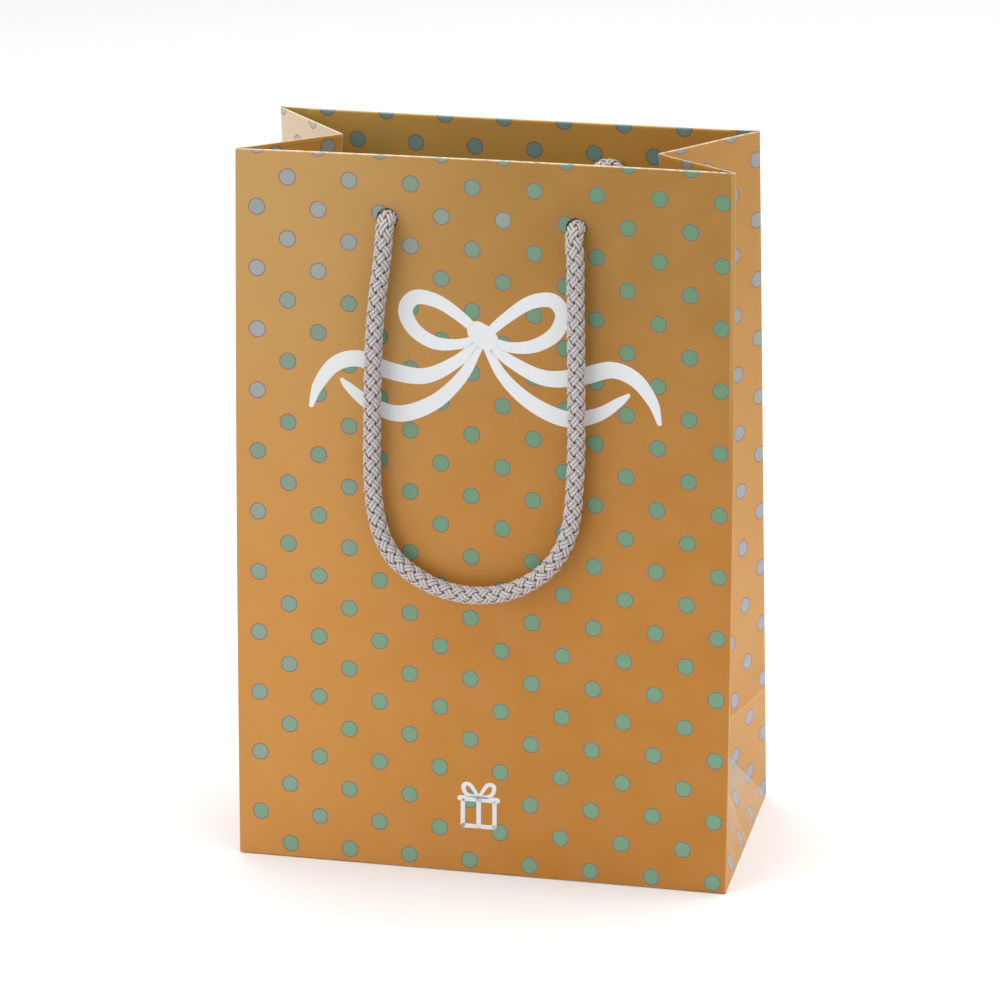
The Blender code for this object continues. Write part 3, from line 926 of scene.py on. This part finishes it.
def make_foot(side):
    """The triangle at the foot of a side, with a slight crease down its middle."""
    place = wall(side * math.pi / 2, HALF, fold_angle(GUSSET))
    name = "right_foot" if side > 0 else "left_foot"
    rows = []
    for up in spread(0.35 * MM, GUSSET - 0.2 * MM, 2.0 * MM):
        half = GUSSET - up
        rows.append([])
        for k in range(-12, 13):
            along = half * k / 12
            crease = 0.45 * MM * max(0.0, 1 - abs(along) / (9 * MM)) * smooth(half / (10 * MM))
            point = Vector((along, crease * smooth(up / (5 * MM)), up))
            gap = half - abs(along)
            u = side * (HALF + GUSSET) + along
            uv = (u, SLOPE - up, u, unstretched(SLOPE - up))
            rows[-1].append((point, Vector((0, -1, 0)), paper_at(gap), uv))
    piece = sheet(f"{name}_sheet", rows, (PRINT_FOOT, WHITE, CORE), place)
    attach(piece, name)
    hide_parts(f"{name}_triangle")


# ------------ base

def make_base_flap(face):
    """An outer base flap, from the rounded fold at its panel's foot to past the middle."""
    lap = 8 * MM
    edge = HALF - 0.35 * MM
    levels = fold_columns(math.pi / 2 + LEAN, 3)
    levels += [(gap, 0.0, 0.0) for gap in spread(2 * MM, GUSSET + lap, 2.0 * MM)]
    rows = []
    for gap, push, turn in levels:
        inner = gap - GUSSET
        lift = 0.0 if face == "front" else 0.30 * MM * smooth((inner + 12 * MM) / (4 * MM))
        normal = Vector((0, -math.sin(turn), -math.cos(turn)))
        rows.append([])
        for x in spread(-edge, edge, 5.0 * MM):
            point = Vector((x, gap - GUSSET, push + lift))
            uv = on_sheet(face, x, SLOPE + gap)
            rows[-1].append((point, normal, paper_at(gap), uv))
    place = Matrix.Rotation(0 if face == "front" else math.pi, 4, "Z")
    node = "base_flap_front" if face == "front" else "base_flap_rear"
    flap = sheet(f"{node}_sheet", rows, (PRINT, WHITE, CORE), place, flip=True)
    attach(flap, "base")
    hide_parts(node)


# ------------ rope

def smooth_route(points, spacing):
    """Points at about the given spacing along a smooth curve through the route's points."""
    padded = [points[0] * 2 - points[1]] + points + [points[-1] * 2 - points[-2]]
    fine = [points[0]]
    for a, b, c, d in zip(padded, padded[1:], padded[2:], padded[3:]):
        for step in range(1, 41):
            t = step / 40
            fine.append(0.5 * (2 * b + (c - a) * t + (2 * a - 5 * b + 4 * c - d) * t ** 2
                               + (3 * b - a - 3 * c + d) * t ** 3))
    places = np.array(fine)
    along = np.concatenate([[0], np.cumsum(np.linalg.norm(np.diff(places, axis=0), axis=1))])
    count = round(along[-1] / spacing)
    at = np.linspace(0, along[-1], count + 1)
    return np.stack([np.interp(at, along, places[:, k]) for k in range(3)], axis=1)


def carried_frames(path, first):
    """Tangents and two square axes along a path, turned as little as possible."""
    tangents = np.gradient(path, axis=0)
    tangents /= np.linalg.norm(tangents, axis=1)[:, None]
    axis = np.array(first, float)
    normals = []
    for tangent in tangents:
        axis = axis - tangent * (axis @ tangent)
        axis /= np.linalg.norm(axis)
        normals.append(axis)
    normals = np.array(normals)
    return tangents, normals, np.cross(tangents, normals)


def tube_faces(rings, around, first):
    """Quads of a closed tube, and its two end caps."""
    faces = []
    for i in range(rings - 1):
        for j in range(around):
            k = (j + 1) % around
            low = first + i * around
            faces.append((low + j, low + k, low + around + k, low + around + j))
    last = first + (rings - 1) * around
    faces.append(tuple(first + j for j in range(around - 1, -1, -1)))
    faces.append(tuple(last + j for j in range(around)))
    return faces


def braid(name, path, first, radius=ROPE / 2):
    """A rope: a core, and two sets of strands that pass over one and under one."""
    _, normals, binormals = carried_frames(path, first)
    steps = np.linalg.norm(np.diff(path, axis=0), axis=1)
    along = np.concatenate([[0], np.cumsum(steps)])
    rings = len(path)
    scale = radius / (ROPE / 2)
    thick = YARN_THICK * scale
    swing = YARN_SWING * scale
    middle = radius - thick - swing
    points = []
    uvs = []
    faces = []
    kinds = []

    def tube(centres, wide, high, half_wide, half_high, around, tag, kind):
        start = len(points)
        for i in range(rings):
            for j in range(around):
                angle = 2 * math.pi * j / around
                points.append(centres[i] + wide[i] * half_wide * math.cos(angle)
                              + high[i] * half_high * math.sin(angle))
                uvs.append((along[i], tag + 0.02 + 0.96 * j / around))
        made = tube_faces(rings, around, start)
        faces.extend(made)
        kinds.extend([kind] * len(made))

    core = CORE_RADIUS * scale
    # The core, whose orange brown is painted shade and reflected light in the gaps between the
    # strands
    tube(path, normals, binormals, core, core, 14, 90, 1)
    crossings = 2 * STRANDS * along / (LEAD * scale)
    turning = 2 * math.pi * along / (LEAD * scale)
    for way in (1, -1):
        for k in range(STRANDS):
            for yarn in range(YARNS):
                aside = (yarn - (YARNS - 1) / 2) * YARN_ANGLE
                angle = way * turning + 2 * math.pi * k / STRANDS + aside
                met = crossings + way * STRANDS * aside / (2 * math.pi)
                over = np.clip(1.35 * way * np.cos(math.pi * met), -1, 1)
                out = normals * np.cos(angle)[:, None] + binormals * np.sin(angle)[:, None]
                centre = path + out * (middle + swing * over)[:, None]
                strand = np.gradient(centre, axis=0)
                strand /= np.linalg.norm(strand, axis=1)[:, None]
                wide = np.cross(strand, out)
                wide /= np.linalg.norm(wide, axis=1)[:, None]
                high = np.cross(wide, strand)
                tag = (way + 1) * 20 + YARNS * k + yarn
                tube(centre, wide, high, YARN_HALF * scale, thick, 8, tag, 0)
    return add_mesh(name, [skewed(point) for point in points], faces, (YARN, ROPE_CORE_SHADE), kinds,
                    uvs, sharp=80)


def handle_path(place):
    """The loop's centreline in the row frame, and the same with its bends into the holes."""
    route = [Vector((x * MM, -ROPE_OUT, HOLE_UP - down * MM)) for x, down in HANDLE_ROUTE]
    loop = smooth_route(route, 4 * MM)
    ends = {}
    for side in (-1, 1):
        ends[side] = [Vector((side * HOLE_SIDE - ASIDE, inward * MM, HOLE_UP + up * MM))
                      for inward, up in HOLE_BEND]
    middle = [Vector(p) for p in loop[2:-2]]
    whole = smooth_route(ends[-1] + middle + ends[1][::-1], ROPE_SPACING)
    turn = np.array(place.to_3x3())
    shift = np.array(place.translation)
    return np.array([skewed(point) for point in loop @ turn.T + shift]), whole @ turn.T + shift


def make_handle(face, knots):
    place = PANELS[face]
    loop, whole = handle_path(place)
    start = place.to_3x3() @ Vector((0, -0.2, 1))
    rope = braid(f"{face}_handle_rope", whole, start)
    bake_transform(rope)
    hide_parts(f"{face}_handle_cord")
    length = float(np.linalg.norm(np.diff(loop, axis=0), axis=1).sum())
    print(f"{face} handle loop {length:.4f} m, {len(rope.data.polygons)} faces")


# Each knot was tied by hand: how far out, in and up its middle lies, in mm, and its spread
KNOTS = {"back_left_knot": (0.0, 7.4, -0.5, 1.0), "back_right_knot": (1.5, 7.0, 2.5, 1.22)}
PLAIN_KNOT = (0.0, 7.4, 3.5, 1.0)
KNOT_RING = 2.95 * MM         # the turn's middle radius, how far its lobes swell, and its depth
KNOT_LOBE = 1.55 * MM
KNOT_DEPTH = 2.6 * MM
KNOT_ROPE = 2.3 * MM          # the rope's radius where it is pulled tight


def make_knot(face, side):
    """A rope end inside: through the hole, round an overhand knot, and a short tail."""
    place = PANELS[face]
    seen = side if face == "front" else -side
    name = f"{face}_{'left' if seen < 0 else 'right'}_knot"
    out, deep, rise, wide = KNOTS.get(name, PLAIN_KNOT)
    middle = Vector((side * (HOLE_SIDE + out * MM), deep * MM, HOLE_UP + rise * MM))
    route = [Vector((side * HOLE_SIDE, y * MM, HOLE_UP + z * MM))
             for y, z in ((0.2, 0.0), (1.6, 0.1), (3.0, -0.4))]
    for step in range(0, 23):
        turn = math.radians(-75 + 15.0 * step)
        ring = KNOT_RING + KNOT_LOBE * math.cos(3 * turn)
        route.append(middle + Vector((side * wide * ring * math.cos(2 * turn),
                                      KNOT_DEPTH * math.sin(3 * turn), ring * math.sin(2 * turn))))
    route.append(route[-1] + (route[-1] - route[-2]) * 0.9)
    path = smooth_route(route, 0.5 * MM)
    turn = np.array(place.to_3x3())
    path = path @ turn.T + np.array(place.translation)
    knot = braid(f"{name}_rope", path, place.to_3x3() @ Vector((0, 0.1, 1)), KNOT_ROPE)
    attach(knot, f"{face}_panel")
    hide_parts(name)
    return knot


for face in ("front", "back"):
    make_handle(face, [make_knot(face, side) for side in (-1, 1)])

for face in ("front", "back"):
    make_panel(face)
    for side in (-1, 1):
        make_gusset_half(face, side)
    make_base_flap(face)
for side in (-1, 1):
    make_foot(side)


# ------------ white print

CAP = 7                       # points round a stroke's end
INK_LIFTS = (0.045 * MM, 0.012 * MM)   # its outer and inner face above the paper


def stroke_mesh(strokes, name):
    """White printed strokes on the front panel, from (x, below the top, width) in mm."""
    points = []
    faces = []
    for stroke in strokes:
        route = [Vector((x * MM, down * MM, width * MM)) for x, down, width in stroke]
        path = smooth_route(route, 0.7 * MM)
        count = len(path)
        ahead = np.gradient(path[:, :2], axis=0)
        ahead /= np.linalg.norm(ahead, axis=1)[:, None]
        across = np.stack([-ahead[:, 1], ahead[:, 0]], axis=1)
        half = path[:, 2] / 2
        left = path[:, :2] + across * half[:, None]
        right = path[:, :2] - across * half[:, None]
        caps = []
        for end, way in ((count - 1, 1), (0, -1)):
            angles = [math.pi * k / (CAP + 1) for k in range(1, CAP + 1)]
            caps.append([path[end, :2] + across[end] * half[end] * math.cos(angle) * way
                         + ahead[end] * half[end] * math.sin(angle) * way for angle in angles])
        ring = list(left) + caps[0] + list(right[::-1]) + caps[1]
        first = len(points)
        size = len(ring)
        for lift in INK_LIFTS:
            for x, down in ring:
                up = SLOPE - down
                depth = hollow(x, up, "front") - lift
                points.append(skewed(PANELS["front"] @ Vector((x, depth, up))))
        for layer in (0, 1):
            base = first + layer * size
            right_at = base + count + CAP
            quads = [(base + i, base + i + 1, right_at + count - 2 - i, right_at + count - 1 - i)
                     for i in range(count - 1)]
            quads.append(tuple(range(base + count - 1, right_at + 1)))
            quads.append((*range(right_at + count - 1, right_at + count + CAP), base))
            faces += [quad[::-1] if layer else quad for quad in quads]
        for i in range(size):
            k = (i + 1) % size
            faces.append((first + k, first + i, first + size + i, first + size + k))
    made = add_mesh(name, points, faces, (INK,), sharp=30)
    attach(made, "front_panel")
    return made


BOW = [
    [(-1, 50.5, 2.6), (-6, 46, 3.2), (-13, 41.6, 3.9), (-19.5, 40.6, 4.3), (-22.5, 44.5, 4.3),
     (-20, 50, 4.2), (-14, 53.6, 3.8), (-7, 53.6, 3.0), (-1, 51.5, 2.2)],
    [(1, 50.5, 2.6), (6.5, 45.4, 3.2), (13.5, 40.4, 3.9), (20, 39.4, 4.3), (23, 43.5, 4.3),
     (20.6, 49.2, 4.2), (14.4, 53.0, 3.8), (7.4, 53.6, 3.0), (1, 51.5, 2.2)],
    [(-1.6, 49.6, 6.0), (0, 51, 7.2), (1.6, 52.2, 6.0)],
    [(-1.5, 53, 2.4), (-8, 59, 3.6), (-17, 63.5, 4.6), (-27, 62.5, 5.0), (-36, 59.5, 4.8),
     (-43, 61.5, 4.4), (-48, 68, 3.2), (-50, 74, 1.4)],
    [(1.5, 53, 2.4), (8.5, 58, 3.6), (18, 62, 4.6), (28, 61, 5.0), (37, 58.4, 4.8),
     (44, 60.8, 4.4), (49, 67, 3.2), (51, 73, 1.4)],
    [(-1.0, 54, 2.2), (-6, 63, 3.4), (-14, 71, 4.4), (-24, 75, 4.8), (-33, 72.5, 4.0),
     (-39, 68, 2.6), (-41, 66, 1.2)],
    [(1.0, 54, 2.2), (6, 62.5, 3.4), (14, 69.5, 4.4), (24, 73.5, 4.8), (33, 71.8, 4.0),
     (39.5, 67.5, 2.6), (42, 65.5, 1.2)],
]
GIFT = [
    [(-5.2, 190.4, 1.3), (-5.2, 198.0, 1.3)],
    [(-5.2, 198.0, 1.3), (4.2, 198.0, 1.3)],
    [(4.2, 190.4, 1.3), (4.2, 198.0, 1.3)],
    [(-6.0, 189.6, 1.7), (5.0, 189.6, 1.7)],
    [(-0.5, 189.6, 1.4), (-0.5, 198.0, 1.4)],
    [(-0.5, 189.2, 1.0), (-3.0, 185.4, 1.2), (-5.0, 185.6, 1.3), (-4.2, 188.2, 1.2),
     (-0.5, 189.2, 1.0)],
    [(-0.5, 189.2, 1.0), (2.0, 185.2, 1.2), (4.0, 185.4, 1.3), (3.2, 188.2, 1.2),
     (-0.5, 189.2, 1.0)],
]
stroke_mesh(BOW, "ribbon_bow_print")
stroke_mesh(GIFT, "gift_icon_print")


# ------------ kept CAD nodes

for node, paint in (("base_flap_left", WHITE), ("base_flap_right", WHITE), ("base_card", BOARD)):
    frame["nodes"][node].material_slots[0].material = paint


# ------------ stage and light

def make_stage():
    size = 6.0
    floor = add_mesh("floor", [(-size, -size, 0), (size, -size, 0), (size, size, 0),
                               (-size, size, 0)], [(0, 1, 2, 3)], ())
    paint = Paint("floor", 0.7, Specular_IOR_Level=0.2)
    cloud = paint.noise(paint.place(), 3.0, 2)
    paint.color(paint.mix(cloud, (0.93, 0.93, 0.93), (0.95, 0.95, 0.95)))
    floor.data.materials.append(paint.material)
    floor.location.z = -0.2 * MM


def make_light(name, place, aim, size, watts, tint=(1, 1, 1)):
    data = bpy.data.lights.new(name, "AREA")
    data.shape = "RECTANGLE"
    data.size, data.size_y = size
    data.energy = watts
    data.color = tint
    light = bpy.data.objects.new(name, data)
    light.location = place
    light.rotation_euler = (Vector(aim) - Vector(place)).to_track_quat("-Z", "Y").to_euler()
    bpy.context.collection.objects.link(light)


def make_world():
    world = bpy.data.worlds.new("studio")
    world.use_nodes = True
    back = world.node_tree.nodes["Background"]
    back.inputs["Color"].default_value = (0.97, 0.98, 1.0, 1)
    back.inputs["Strength"].default_value = 0.36
    bpy.context.scene.world = world


make_stage()
make_world()
make_light("key_left", (-0.75, -0.85, 0.62), (0, 0, 0.1), (1.0, 1.0), 5.5)
make_light("fill_right", (1.3, 0.35, 0.5), (0, 0, 0.1), (0.9, 0.9), 7)
make_light("top", (0.0, 0.2, 1.8), (0, 0, 0), (1.6, 1.6), 34)
bpy.context.scene.view_settings.view_transform = "Standard"
